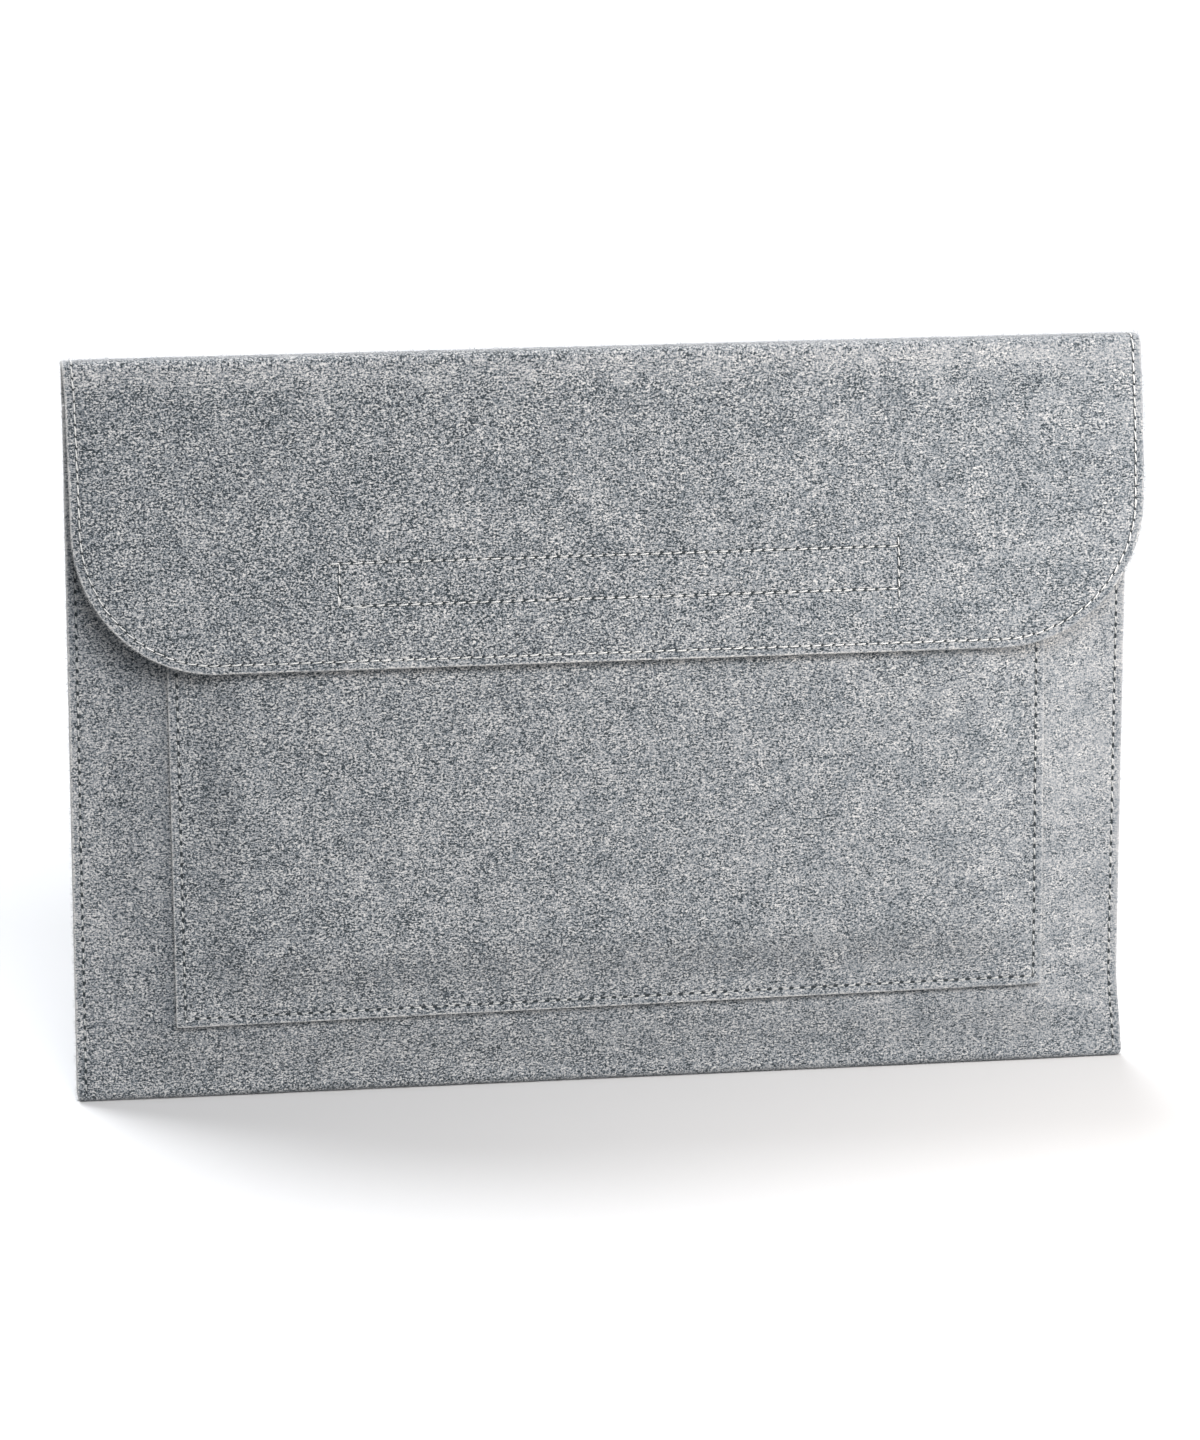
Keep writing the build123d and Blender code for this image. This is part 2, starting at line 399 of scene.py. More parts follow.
class Sheet:
    """One piece of felt: where its flat cut lies, its cut outline and the seams sewn on it.
    pattern_start is where its flat cut starts on the felt's colours, hole the size of its needle holes,
    and shade and folds, each (place, reach, amount), its painted light all over and its painted light
    and shade near them."""

    def __init__(self, surface, facing, pattern_start, outline, seams, hole, folds=(), shade=0.0):
        self.surface, self.facing = surface, facing
        self.outline, self.seams = outline, seams
        self.pattern_start, self.hole = pattern_start, hole
        self.folds, self.shade = folds, shade

    def normal(self, uv):
        u, v, step = uv[:, 0], uv[:, 1], 0.04
        du = self.surface(u + step, v) - self.surface(u - step, v)
        dv = self.surface(u, v + step) - self.surface(u, v - step)
        return unit(np.cross(du, dv) * self.facing)

    def lift(self, uv, height):
        """Points that far outside the middle of the felt."""
        uv = np.asarray(uv, float)
        height = np.broadcast_to(height, len(uv))
        return self.surface(uv[:, 0], uv[:, 1]) + self.normal(uv) * height[:, None]

    def pattern(self, uv, height):
        """Where the points are in the felt itself, for its colour and relief."""
        height = np.broadcast_to(height, len(uv))
        return np.stack([uv[:, 0], uv[:, 1] + self.pattern_start, height], axis=1)


def unevenness(pattern):
    """0 to 1, how much thinner the felt is at each place: slow swells and a fine nap."""
    places = [Vector(p) for p in pattern]
    slow = np.array([noise.noise(p / 19) for p in places])
    quick = np.array([noise.noise(p / 5.5) for p in places])
    return np.clip(0.5 + 0.55 * slow + 0.3 * quick, 0, 1)


def add_object(name, data):
    added = bpy.data.objects.new(name, data)
    bpy.context.scene.collection.objects.link(added)
    return added


def new_mesh(name, points, faces, attributes, material):
    mesh = bpy.data.meshes.new(name)
    mesh.from_pydata((np.asarray(points) * MM).tolist(), [], faces)
    for label, values in attributes.items():
        values = np.asarray(values, np.float32)
        kind, key = ("FLOAT_VECTOR", "vector") if values.ndim == 2 else ("FLOAT", "value")
        mesh.attributes.new(label, kind, "POINT").data.foreach_set(key, values.ravel())
    mesh.polygons.foreach_set("use_smooth", [True] * len(mesh.polygons))
    mesh.materials.append(material)
    mesh.update()
    piece = add_object(name, mesh)
    return piece


# ---- felt ----
dent_deep, dent_reach = 0.3, 1.2         # a seam pulls both faces in
edge_deep, edge_reach = 0.22, 0.9        # a cut edge is pressed thinner
swell_deep = 0.14
rim_rough = 0.16
# The rows of points round a cut rim, from the outer face to the inner one: how far out of the cut,
# as a share of cut_bevel, the level between the faces, and how ragged.
rim_rows = (
    (0.7, 0.93, 0.2), (1.0, 0.72, 0.6), (1.0, 0.25, 1.0),
    (1.0, -0.25, 1.0), (1.0, -0.72, 0.6), (0.7, -0.93, 0.2),
)
inner_hole = 1.35          # needle holes away from the cut edges are that much larger
inner_from = 8.0


def felt_piece(name, sheet, uv, flat_faces, joined_v=None):
    """Closed mesh of a felt sheet from its flat mesh: two skins and a soft cut rim between them.
    joined_v is where the sheet goes on as another piece, which gets a plain flat end."""
    seam_far, seam_at = nearest(sheet.seams, uv)
    edge_far, _ = nearest([sheet.outline], uv)
    dent = dent_deep * np.exp(-((seam_far / dent_reach) ** 2))
    swell = swell_deep * unevenness(sheet.pattern(uv, face))
    outer_h = face - dent - swell - edge_deep * np.exp(-((edge_far / edge_reach) ** 2))
    inner_h = -face + dent
    loop = rim_of(flat_faces)
    ring = uv[loop]
    steps = out_steps(ring, joined_v)
    ragged = np.array([noise.noise(Vector((*p, 7.0)) * 1.3) for p in ring])
    top, bottom = outer_h[loop], inner_h[loop]
    points = [sheet.lift(uv, outer_h), sheet.lift(uv, inner_h)]
    pattern = [sheet.pattern(uv, face), sheet.pattern(uv, -face)]
    rim = []
    for reach, level, rough in rim_rows:
        at = ring + steps * (cut_bevel * reach + rim_rough * rough * ragged)[:, None]
        height = (top + bottom) / 2 + (top - bottom) / 2 * level
        points.append(sheet.lift(at, height))
        pattern.append(sheet.pattern(at, height))
        rim.append(at)

    count = len(uv)
    skin = [corners if sheet.facing > 0 else corners[::-1] for corners in flat_faces]
    faces = skin + [[v + count for v in reversed(corners)] for corners in skin]
    chain = [np.array(loop)]
    chain += [2 * count + k * len(loop) + np.arange(len(loop)) for k in range(len(rim_rows))]
    chain += [np.array(loop) + count]
    for a, b in zip(chain, chain[1:]):
        around = np.stack([a, b, np.roll(b, -1), np.roll(a, -1)], axis=1)
        faces += (around if sheet.facing > 0 else around[:, ::-1]).tolist()

    rim = np.concatenate(rim)
    rim_edge, _ = nearest([sheet.outline], rim)
    rim_seam, rim_at = nearest(sheet.seams, rim)
    edge_far = np.concatenate([edge_far, edge_far, rim_edge])
    along = np.concatenate([uv, uv, rim])[:, 1]
    # Painted light and shade: the sheet's shade all over, and each fold's amount near it, lighten or
    # darken the felt's colour.
    painted_light_and_shade = np.full(len(along), sheet.shade)
    for fold, reach, amount in sheet.folds:
        painted_light_and_shade += amount * np.exp(-(((along - fold) / reach) ** 2))
    piece = new_mesh(name, np.concatenate(points), faces, {
        "felt_pos": np.concatenate(pattern),
        "edge_far": edge_far,
        "seam_far": np.concatenate([seam_far, seam_far, rim_seam]),
        "seam_at": np.concatenate([seam_at, seam_at, rim_at]),
        "hole_size": sheet.hole * np.where(edge_far > inner_from, inner_hole, 1.0),
        "painted_light_and_shade": painted_light_and_shade,
    }, felt_material)
    if joined_v is not None:
        on_joint = np.flatnonzero(np.abs(uv[:, 1] - joined_v) < 1e-6)
        sharpen(piece, np.concatenate([on_joint, on_joint + count]))
    return piece


def sharpen(piece, corners):
    """Keeps the shading of the skins apart from the flat end that those vertices bound."""
    mesh = piece.data
    pairs = np.zeros(len(mesh.edges) * 2, np.int32)
    mesh.edges.foreach_get("vertices", pairs)
    layer = mesh.attributes.new("sharp_edge", "BOOLEAN", "EDGE")
    layer.data.foreach_set("value", np.isin(pairs.reshape(-1, 2), corners).all(axis=1))


# ---- stitches and fibres ----
def walk(line, places):
    """Points at those distances along a line of the flat cut."""
    p, reached = measured(line)
    return np.stack([np.interp(places, reached, p[:, k]) for k in (0, 1)], axis=1)


def length_of(line):
    return measured(line)[1][-1]


def stitches(name, seams, seed):
    """One mesh of many stitches. seams lists (sheet, line, height, sunk): a line on that sheet's flat
    cut, how far the cloth's face is from the middle of the felt (negative inside), and how deep the
    thread lies in the cloth, which also darkens it with painted shade."""
    rings, sides = 11, 9
    below, above = 0.55, 0.24        # how far a stitch's ends and its middle are from the cloth's face
    random = np.random.default_rng(seed)
    points, strand = [], []
    t = np.linspace(0, 1, rings)
    angle = np.linspace(0, 2 * math.pi, sides, endpoint=False)
    arch = np.clip(np.sin(math.pi * t), 0, 1) ** 0.4
    slim = 0.72 + 0.28 * arch
    for sheet, line, height, sunk in seams:
        side = 1 if height > 0 else -1
        gap = 0.04 + 0.3 * sunk
        total = length_of(line)
        number = max(1, round(total / stitch))
        pitch = total / number
        rise = height + side * (-sunk - below + (below + above) * arch)
        for k in range(number):
            start = k + gap + 0.02 * random.normal()
            end = k + 1 - gap + 0.02 * random.normal()
            uv = walk(line, (start + (end - start) * t) * pitch)
            middle = sheet.lift(uv, rise)
            up = sheet.normal(uv) * side
            tangent = unit(np.gradient(middle, axis=0))
            wide = unit(np.cross(tangent, up))
            up = np.cross(wide, tangent)
            slant = 0.13 + 0.05 * random.normal()
            middle = middle + wide * (slant * (1 - 2 * t) + 0.04 * random.normal())[:, None]
            twist = random.uniform(0, 2 * math.pi) + t * pitch * 2.6
            turn = angle[None, :] - twist[:, None]
            r = thread_width / 2 * (1 + 0.17 * np.cos(3 * turn)) * slim[:, None]
            ring = middle[:, None] + wide[:, None] * (r * np.cos(angle))[:, :, None]
            ring = ring + up[:, None] * (0.85 * r * np.sin(angle))[:, :, None]
            points.append(ring.reshape(-1, 3))
            # the stitch's own random tone, lowered by painted shade the deeper the thread lies
            own = random.uniform(0, 1) - 4 * sunk
            place = np.broadcast_arrays((k + t[:, None]) * pitch, turn, own)
            strand.append(np.stack(place, axis=2).reshape(-1, 3))
    faces = tube_faces(len(points), rings, sides)
    strand = {"strand": np.concatenate(strand)}
    return new_mesh(name, np.concatenate(points), faces, strand, thread_material)


def fibres(name, sheet, grown, seed):
    """Loose fibres of the felt as one mesh. grown lists (starts, way, rise, length): places on the
    flat cut, the way each points there, how steeply it stands off the face, and the mean length."""
    random = np.random.default_rng(seed)
    root = face - 0.18
    starts = np.concatenate([g[0] for g in grown])
    way = np.concatenate([np.broadcast_to(g[1], g[0].shape) for g in grown]).astype(float)
    rise = np.concatenate([np.full(len(g[0]), float(g[2])) for g in grown])
    length = np.concatenate([g[3] * random.uniform(0.5, 1.5, len(g[0])) for g in grown])
    count = len(starts)
    turn = random.uniform(0, 2 * math.pi, count)
    way += 0.9 * np.stack([np.cos(turn), np.sin(turn)], axis=1)
    foot = sheet.lift(starts, root)
    along = unit(sheet.lift(starts + 0.05 * way, root) - foot)
    along = unit(along + sheet.normal(starts) * (rise * random.uniform(0.4, 1.6, count))[:, None])
    bend = unit(np.cross(along, random.normal(size=(count, 3))))
    rings, sides = 5, 3
    t = np.linspace(0, 1, rings)[None, :, None]
    curl = random.uniform(0.15, 0.6, count)[:, None, None]
    path = foot[:, None] + length[:, None, None] * (t * along[:, None] + curl * t**2 * bend[:, None])
    path[..., 2] = np.maximum(path[..., 2], fibre_width)
    one = np.cross(along, bend)
    angle = np.arange(sides) * 2 * math.pi / sides
    spread = np.cos(angle)[None, :, None] * one[:, None] + np.sin(angle)[None, :, None] * bend[:, None]
    thick = fibre_width / 2 * (1 - 0.5 * t)
    points = path[:, :, None] + thick[..., None] * spread[:, None]
    own = np.repeat(random.uniform(0, 1, count), rings * sides)
    faces = tube_faces(count, rings, sides)
    return new_mesh(name, points.reshape(-1, 3), faces, {"own_tone": own}, fibre_material)


def along_line(line, per_mm, aside, seed):
    """Random places by a line of the flat cut, that many to the millimetre, up to aside from it."""
    random = np.random.default_rng(seed)
    count = round(length_of(line) * per_mm)
    spots = walk(line, random.uniform(0, length_of(line), count))
    return spots + random.uniform(-1, 1, spots.shape) * aside


def outward(line, spots):
    """From the middle of a closed outline to each place, as a unit step on the flat cut."""
    middle = np.array(line).mean(axis=0)
    way = (spots - middle) / np.abs(np.array(line) - middle).max(axis=0)
    return np.where(np.abs(way) > np.abs(way).max(axis=1, keepdims=True) * 0.93, np.sign(way), 0)


def edge_fibres(line, per_mm, seed):
    spots = along_line(line, per_mm, 0.15, seed)
    return spots, 1.6 * outward(line, spots), 0.1, 0.75


def fold_fibres(place, seed):
    return along_line([(-half, place), (half, place)], 5.0, 2.2, seed), (0, 0), 1.5, 0.9


def face_fibres(low, high, seed):
    random = np.random.default_rng(seed)
    per_mm2 = 0.05
    count = round((high[0] - low[0]) * (high[1] - low[1]) * per_mm2)
    return random.uniform(low, high, (count, 2)), (0, 0), 0.16, 1.3


# ---- materials ----
class Nodes:
    """Short ways to add nodes to a tree."""

    def __init__(self, tree):
        self.tree = tree

    def put(self, socket, value):
        if isinstance(value, bpy.types.NodeSocket):
            self.tree.links.new(value, socket)
        else:
            socket.default_value = value

    def add(self, kind, inputs=(), output=0, **settings):
        node = self.tree.nodes.new(kind)
        for key, value in settings.items():
            setattr(node, key, value)
        for key, value in dict(inputs).items():
            self.put(node.inputs[key], value)
        return node.outputs[output]

    def attribute(self, name, output="Fac"):
        return self.add("ShaderNodeAttribute", attribute_name=name, output=output)

    def noise(self, vector, scale, detail=2.0, roughness=0.5, distortion=0.0):
        return self.add("ShaderNodeTexNoise", {
            "Vector": vector, "Scale": scale, "Detail": detail,
            "Roughness": roughness, "Distortion": distortion,
        })

    def math(self, operation, a, b=0.0, c=0.0):
        return self.add("ShaderNodeMath", {0: a, 1: b, 2: c}, operation=operation)

    def total(self, start, *terms):
        """start plus each (value, factor) of the terms, multiplied."""
        for value, factor in terms:
            start = self.math("MULTIPLY_ADD", value, factor, start)
        return start

    def ranged(self, value, low, high, to_low=0.0, to_high=1.0, smooth=True):
        kind = "SMOOTHSTEP" if smooth else "LINEAR"
        return self.add("ShaderNodeMapRange", {
            "Value": value, "From Min": low, "From Max": high, "To Min": to_low, "To Max": to_high,
        }, interpolation_type=kind)

    def ramp(self, value, stops):
        node = self.add("ShaderNodeValToRGB", {0: value}).node
        elements = node.color_ramp.elements
        while len(elements) < len(stops):
            elements.new(0.5)
        for element, (place, colour) in zip(elements, stops):
            element.position = place
            element.color = (*colour, 1)
        return node.outputs[0]


class Shader(Nodes):
    """A material with its nodes."""

    def __init__(self, name, **sockets):
        self.material = bpy.data.materials.new(name)
        self.material.use_nodes = True
        super().__init__(self.material.node_tree)
        self.surface = self.tree.nodes["Principled BSDF"]
        for socket, value in sockets.items():
            self.surface.inputs[socket.replace("_", " ")].default_value = value

    def colour(self, value, stops):
        self.put(self.surface.inputs["Base Color"], self.ramp(value, stops))

    def relief(self, height, distance, strength):
        inputs = {"Height": height, "Distance": distance, "Strength": strength}
        self.put(self.surface.inputs["Normal"], self.add("ShaderNodeBump", inputs))


def needle_holes(s):
    """1 in the holes between the stitches, 0 elsewhere. The mesh has no holes: they are painted shade,
    darkening the colour and dipping the bump.
    """
    along = s.math("MULTIPLY", s.math("PINGPONG", s.attribute("seam_at"), 0.5), stitch)
    aside = s.math("MULTIPLY", s.attribute("seam_far"), 2.0)
    from_hole = s.math("SQRT", s.math("ADD", s.math("POWER", along, 2.0), s.math("POWER", aside, 2.0)))
    return s.ranged(s.math("DIVIDE", from_hole, s.attribute("hole_size")), 1.15, 0.7)


def make_felt():
    """Pressed heather felt: light and dark fibres every way, clouds, needle holes darkened as painted
    shade, cut edges with a painted highlight, and painted light and shade by the folds and over the
    sheets.
    """
    s = Shader(
        "pressed_felt", Roughness=0.95, Specular_IOR_Level=0.12,
        Sheen_Weight=0.12, Sheen_Roughness=0.6,
    )
    place = s.attribute("felt_pos", "Vector")
    edge_far = s.attribute("edge_far")
    # Painted light and shade from the sheets and their folds: it lightens or darkens the tone and calms
    # the speckle there.
    painted_light_and_shade = s.attribute("painted_light_and_shade")
    across_cut = s.add("ShaderNodeSeparateXYZ", {0: place}, "X")
    # A painted highlight along the cut edges, weaker towards the right.
    edge = s.ranged(edge_far, 1.0, 0.1)
    pressed = s.ranged(edge_far, 2.4, 1.2)
    grain = s.noise(place, 1.45, 1.5, 0.6, 0.3)
    patches = s.noise(place, 0.16, 1.0)
    tufts = s.noise(place, 0.42, 2.0, 0.5, 0.8)
    clouds = s.noise(place, 0.075, 4.0, 0.6, 0.3)
    fleck = s.ranged(s.noise(place, 1.9, 0.0), 0.36, 0.22)
    light, dark = 0.0, 0.0
    for degrees in (8, 47, 83, 124, 163):
        turned = s.add("ShaderNodeMapping", {
            "Vector": place, "Rotation": (0, 0, math.radians(degrees)), "Scale": (0.7, 2.7, 1.4),
        })
        streak = s.noise(turned, 1.0, 1.0, 0.5, 0.6)
        light = s.math("MAXIMUM", light, s.ranged(streak, 0.60, 0.76))
        dark = s.math("MAXIMUM", dark, s.ranged(streak, 0.40, 0.26))

    speckle = s.total(
        0.0, (s.math("SUBTRACT", grain, 0.5), 2.9), (light, 0.52), (dark, -0.68), (fleck, -0.55)
    )
    calmer_right = s.ranged(across_cut, -60, 190, 0.0, -0.50, smooth=False)
    contrast = s.total(0.75, (patches, 1.0), (pressed, -0.22), (painted_light_and_shade, -0.13), (calmer_right, 1.0))
    # Needle holes: painted shade where the mesh has no hole.
    hole = needle_holes(s)
    tone = s.total(
        0.505,
        (speckle, contrast),
        (s.math("SUBTRACT", tufts, 0.5), 0.40),
        (s.math("SUBTRACT", clouds, 0.5), 0.60),
        (edge, s.ranged(across_cut, 60, 140, 0.62, 0.22)),
        (painted_light_and_shade, 0.12),
        (hole, -1.6),
    )
    s.colour(s.math("MULTIPLY", tone, 0.8), [
        (0.0, (0.010, 0.015, 0.019)),
        (0.2, (0.054, 0.068, 0.082)),
        (0.4, (0.130, 0.143, 0.159)),
        (0.6, (0.200, 0.209, 0.221)),
        (0.8, (0.263, 0.267, 0.274)),
        (1.0, (0.370, 0.370, 0.370)),
    ])
    s.relief(s.total(grain, (light, 0.35), (hole, -1.6)), 0.35 * MM, 0.6)
    return s.material


def make_thread():
    """Twisted grey thread. A strand is its place along, its place round, and its own tone, darkened by
    painted shade the deeper the thread lies.
    """
    s = Shader("grey_thread", Roughness=0.7, Specular_IOR_Level=0.3, Sheen_Weight=0.1)
    strand = s.attribute("strand", "Vector")
    parts = s.add("ShaderNodeSeparateXYZ", {0: strand}).node.outputs
    ply = s.math("SINE", s.math("MULTIPLY", parts["Y"], 3.0))
    fine = s.noise(strand, 3.0, 3.0, 0.7)
    tone = s.total(0.62, (ply, 0.14), (s.math("SUBTRACT", fine, 0.5), 0.5), (parts["Z"], 0.22))
    s.colour(tone, [
        (0.0, (0.12, 0.128, 0.135)),
        (0.5, (0.34, 0.35, 0.355)),
        (1.0, (0.60, 0.60, 0.60)),
    ])
    s.relief(ply, 0.05 * MM, 0.7)
    return s.material


def make_fibre():
    """Single wool fibres: mostly pale, some dark."""
    s = Shader("felt_fibre", Roughness=0.8, Specular_IOR_Level=0.2, Sheen_Weight=0.1)
    s.colour(s.attribute("own_tone"), [
        (0.0, (0.03, 0.038, 0.045)),
        (0.35, (0.12, 0.132, 0.14)),
        (1.0, (0.40, 0.405, 0.41)),
    ])
    return s.material


def make_tape(name, warp, weft):
    """Woven tape: a plain weave over its own flat place."""
    s = Shader(name, Roughness=0.6, Specular_IOR_Level=0.35)
    place = s.attribute("tape_pos", "Vector")
    parts = s.add("ShaderNodeSeparateXYZ", {0: place}).node.outputs
    waves = [s.math("SINE", s.math("MULTIPLY", parts[axis], 2 * math.pi / yarn_pitch)) for axis in "XY"]
    weave = s.math("MULTIPLY", *waves)
    wear = s.noise(place, 0.6, 3.0, 0.6)
    s.colour(s.total(0.25, (wear, 0.5), (weave, 0.25)), [(0.0, warp), (1.0, weft)])
    s.relief(weave, 0.08 * MM, 0.8)
    return s.material


def make_bristle(name, dark, pale, roughness):
    """The hooks or the loops: short plastic threads that differ a little from one to the next."""
    s = Shader(name, Roughness=roughness, Specular_IOR_Level=0.5)
    s.colour(s.noise(s.attribute("tape_pos", "Vector"), 0.9, 2.0, 0.6), [(0.25, dark), (0.75, pale)])
    return s.material


def make_floor():
    s = Shader("floor", Roughness=0.85, Specular_IOR_Level=0.15)
    place = s.add("ShaderNodeTexCoord", output="Object")
    s.colour(s.noise(place, 3.0, 3.0), [(0.0, (0.405, 0.413, 0.428)), (1.0, (0.42, 0.428, 0.443))])
    return s.material


yarn_pitch = 0.55
felt_material = make_felt()
thread_material = make_thread()
fibre_material = make_fibre()
hook_tape_material = make_tape("hook_tape", (0.05, 0.053, 0.058), (0.16, 0.165, 0.17))
loop_tape_material = make_tape("loop_tape", (0.06, 0.063, 0.068), (0.20, 0.205, 0.21))
hook_material = make_bristle("hooks", (0.10, 0.105, 0.11), (0.26, 0.265, 0.27), 0.35)
loop_material = make_bristle("loops", (0.09, 0.095, 0.10), (0.30, 0.305, 0.31), 0.7)

# ---- camera, floor and light, in metres ----
camera_azimuth, camera_elevation = -8.72, 13.56      # degrees
camera_distance = 2.0
camera_lens = 145.03
camera_target = Vector((-0.0027, 0, (cad_box[0].z + cad_box[1].z) / 2 + 0.0004))
floor_reach = 14.0
key_place, key_aim = Vector((0.44, -0.40, 0.31)), Vector((0.06, 0, 0.17))


def make_camera():
    azimuth, elevation = math.radians(camera_azimuth), math.radians(camera_elevation)
    out = math.cos(elevation)
    back = Vector((math.sin(azimuth) * out, -math.cos(azimuth) * out, math.sin(elevation)))
    data = bpy.data.cameras.new("camera")
    data.lens = camera_lens
    data.sensor_width = 36
    data.clip_end = 60
    camera = add_object("camera", data)
    camera.location = camera_target + back * camera_distance
    camera.rotation_mode = "QUATERNION"
    camera.rotation_quaternion = back.to_track_quat("Z", "Y")
    bpy.context.scene.camera = camera


def make_floor_object():
    mesh = bpy.data.meshes.new("floor")
    corners = [(floor_reach * x, floor_reach * y, 0) for x, y in ((-1, -1), (1, -1), (1, 1), (-1, 1))]
    mesh.from_pydata(corners, [], [(0, 1, 2, 3)])
    mesh.materials.append(make_floor())
    floor = add_object("floor", mesh)
    floor.visible_diffuse = False


def add_light(name, kind, towards, **settings):
    """A light on that side of the sleeve, with those settings of its data."""
    data = bpy.data.lights.new(name, kind)
    for key, value in settings.items():
        setattr(data, key, value)
    light = add_object(name, data)
    light.rotation_mode = "QUATERNION"
    light.rotation_quaternion = Vector(towards).to_track_quat("Z", "Y")
    light.visible_camera = False
    return light


def make_light():
    """White round the horizon, greyer above and below, two wide suns and a warm lamp on the right."""
    scene = bpy.context.scene
    scene.view_settings.view_transform = "Standard"
    world = bpy.data.worlds.new("studio")
    world.use_nodes = True
    scene.world = world
    sky = Nodes(world.node_tree)
    way = sky.add("ShaderNodeTexCoord", output="Generated")
    height = sky.ranged(sky.add("ShaderNodeSeparateXYZ", {0: way}, "Z"), -1, 1, smooth=False)
    levels = ((0.47, 0.6), (0.489, 1.0), (0.56, 1.0), (0.7, 0.35))
    shade = sky.ramp(height, [(place, (level,) * 3) for place, level in levels])
    sky.put(world.node_tree.nodes["Background"].inputs["Color"], shade)
    add_light("top light", "SUN", (-0.3, 0.6, 0.8), energy=6.4, angle=math.radians(45))
    add_light("fill", "SUN", (0.05, -0.8, 0.6), energy=3.4, angle=math.radians(26))
    key = add_light("key", "AREA", key_place - key_aim, energy=6.5, size=0.25, color=(1.0, 0.92, 0.84))
    key.location = key_place


make_camera()
make_floor_object()
make_light()

# ---- the felt pieces ----
# Where a mesh is finer, as (place, reach, step).
rim_fine = ((0, 1.6, 0.55), (seam_inset, 1.6, 0.6))


def side_seam(sign):
    u = sign * (half - seam_inset)
    front = [(u, front_v(u, mouth_z - 1.0)), (u, front_v(u, 3.5))]
    back = [(u, back_v(u, 3.5)), (u, body_length)]
    return front, back


left_seam, right_seam = side_seam(-1), side_seam(1)
body = Sheet(
    body_surface,
    facing=-1,
    pattern_start=0.0,
    outline=[(-half, body_length), (-half, 0), (half, 0), (half, body_length)],
    seams=[*left_seam, *right_seam],
    hole=0.95,
    # painted shade towards the bottom fold, painted light at the bend over the back crease and, through
    # shade, all over
    folds=[(base_v, 32.0, -0.7), (bend_v, 5.0, 1.5)],
    shade=1.0,
)
side_fine = [(s * (half - inset), reach, step) for s in (-1, 1) for inset, reach, step in rim_fine]
columns = stations(-half + cut_bevel, half - cut_bevel, 2.5, side_fine)
rows = stations(cut_bevel, body_length, 2.5, [(0, 1.6, 0.55), (base_v, 6.0, 0.7), (bend_v, 3.4, 0.4)])
body_flat = np.stack(np.meshgrid(columns, rows), axis=2)
felt_body = felt_piece("felt_body", body, *weld([body_flat]), joined_v=body_length)

closure_x = (hook_low.x + hook_high.x) / 2
closure_half = (hook_high.x - hook_low.x) / 2 - strip_inset
hook_top_q = (crease_z - hook_high.z) / math.cos(flap_lean)
hook_base_q = (crease_z - hook_low.z) / math.cos(flap_lean)


def closure_box(low, high, past=0.0):
    """The closure's rectangle of stitches, as four lines. The first starts that far past its corner,
    and the second goes on as far at both its ends."""
    left, right = closure_x - closure_half, closure_x + closure_half
    return [
        [(left - past, low), (right, low)],
        [(right, low - past), (right, high + past)],
        [(right, high), (left, high)],
        [(left, high), (left, low)],
    ]


hook_ends = hook_top_q + strip_inset, hook_base_q - strip_inset
hook_box = closure_box(*hook_ends, 0.9 * stitch)
hook_box_inside = closure_box(*hook_ends)
flap = Sheet(
    flap_surface,
    facing=-1,
    pattern_start=body_length - flap_start,
    outline=flap_u(0),
    seams=[flap_u(seam_inset), *hook_box],
    hole=0.85,
    # painted light where the flap turns down from the top fold
    folds=[(flap_tangent + 2.0, 5.0, 1.3)],
)


def flap_patches():
    """Flat mesh of the flap: an inner rectangle and a band round it that turns with the corners."""
    box_sides = [(closure_x + s * closure_half, 1.6, 0.7) for s in (-1, 1)]
    xs = stations(-corner_x, corner_x, 1.7, box_sides)
    qs = stations(flap_start, corner_q, 1.7, [(0.4, 3.4, 0.4)])
    box_rows = [(flap_length - line[0][1], 1.6, 0.7) for line in (hook_box[0], hook_box[2])]
    insets = stations(cut_bevel, flap_corner, 1.7, [*rim_fine, *box_rows])
    reach = flap_corner - insets
    turns = np.radians(np.linspace(0, 90, 46))
    left = np.stack(np.meshgrid(-half + insets, qs, indexing="ij"), axis=2)
    base = np.stack(np.meshgrid(xs, flap_length - insets), axis=2)
    out, down = reach[:, None] * np.cos(turns), reach[:, None] * np.sin(turns)
    corner = np.stack([-corner_x - out, corner_q + down], axis=2)
    mirror = np.array([-1.0, 1.0])
    middle = np.stack(np.meshgrid(xs, qs), axis=2)
    return [left, left * mirror, corner, corner * mirror, base, middle]


felt_flap = felt_piece("felt_flap", flap, *weld(flap_patches()), joined_v=flap_start)

pocket_half = pocket_width / 2
pocket_outline = [
    (-pocket_half, 0), (pocket_half, 0), (pocket_half, pocket_height),
    (-pocket_half, pocket_height), (-pocket_half, 0),
]
pocket_seam_u, pocket_seam_top = pocket_half - pocket_inset, pocket_height - 1.5
pocket_corners = [
    (-pocket_seam_u, pocket_seam_top), (-pocket_seam_u, pocket_inset),
    (pocket_seam_u, pocket_inset), (pocket_seam_u, pocket_seam_top),
]
pocket_seam = list(zip(pocket_corners, pocket_corners[1:]))
pocket = Sheet(
    pocket_surface,
    facing=1,
    pattern_start=1700.0,
    outline=pocket_outline,
    seams=pocket_seam,
    hole=1.0,
    # painted light all over the pocket
    shade=0.35,
)
pocket_columns = stations(-pocket_half + cut_bevel, pocket_half - cut_bevel, 1.9, [
    (s * (pocket_half - inset), 1.6, 0.55) for s in (-1, 1) for inset in (0, pocket_inset)
])
pocket_rows = stations(cut_bevel, pocket_height - cut_bevel, 1.9, [
    (v, 1.6, 0.55) for v in (0, pocket_inset, pocket_height)
])
pocket_flat = np.stack(np.meshgrid(pocket_columns, pocket_rows), axis=2)
felt_pocket = felt_piece("felt_pocket", pocket, *weld([pocket_flat]))

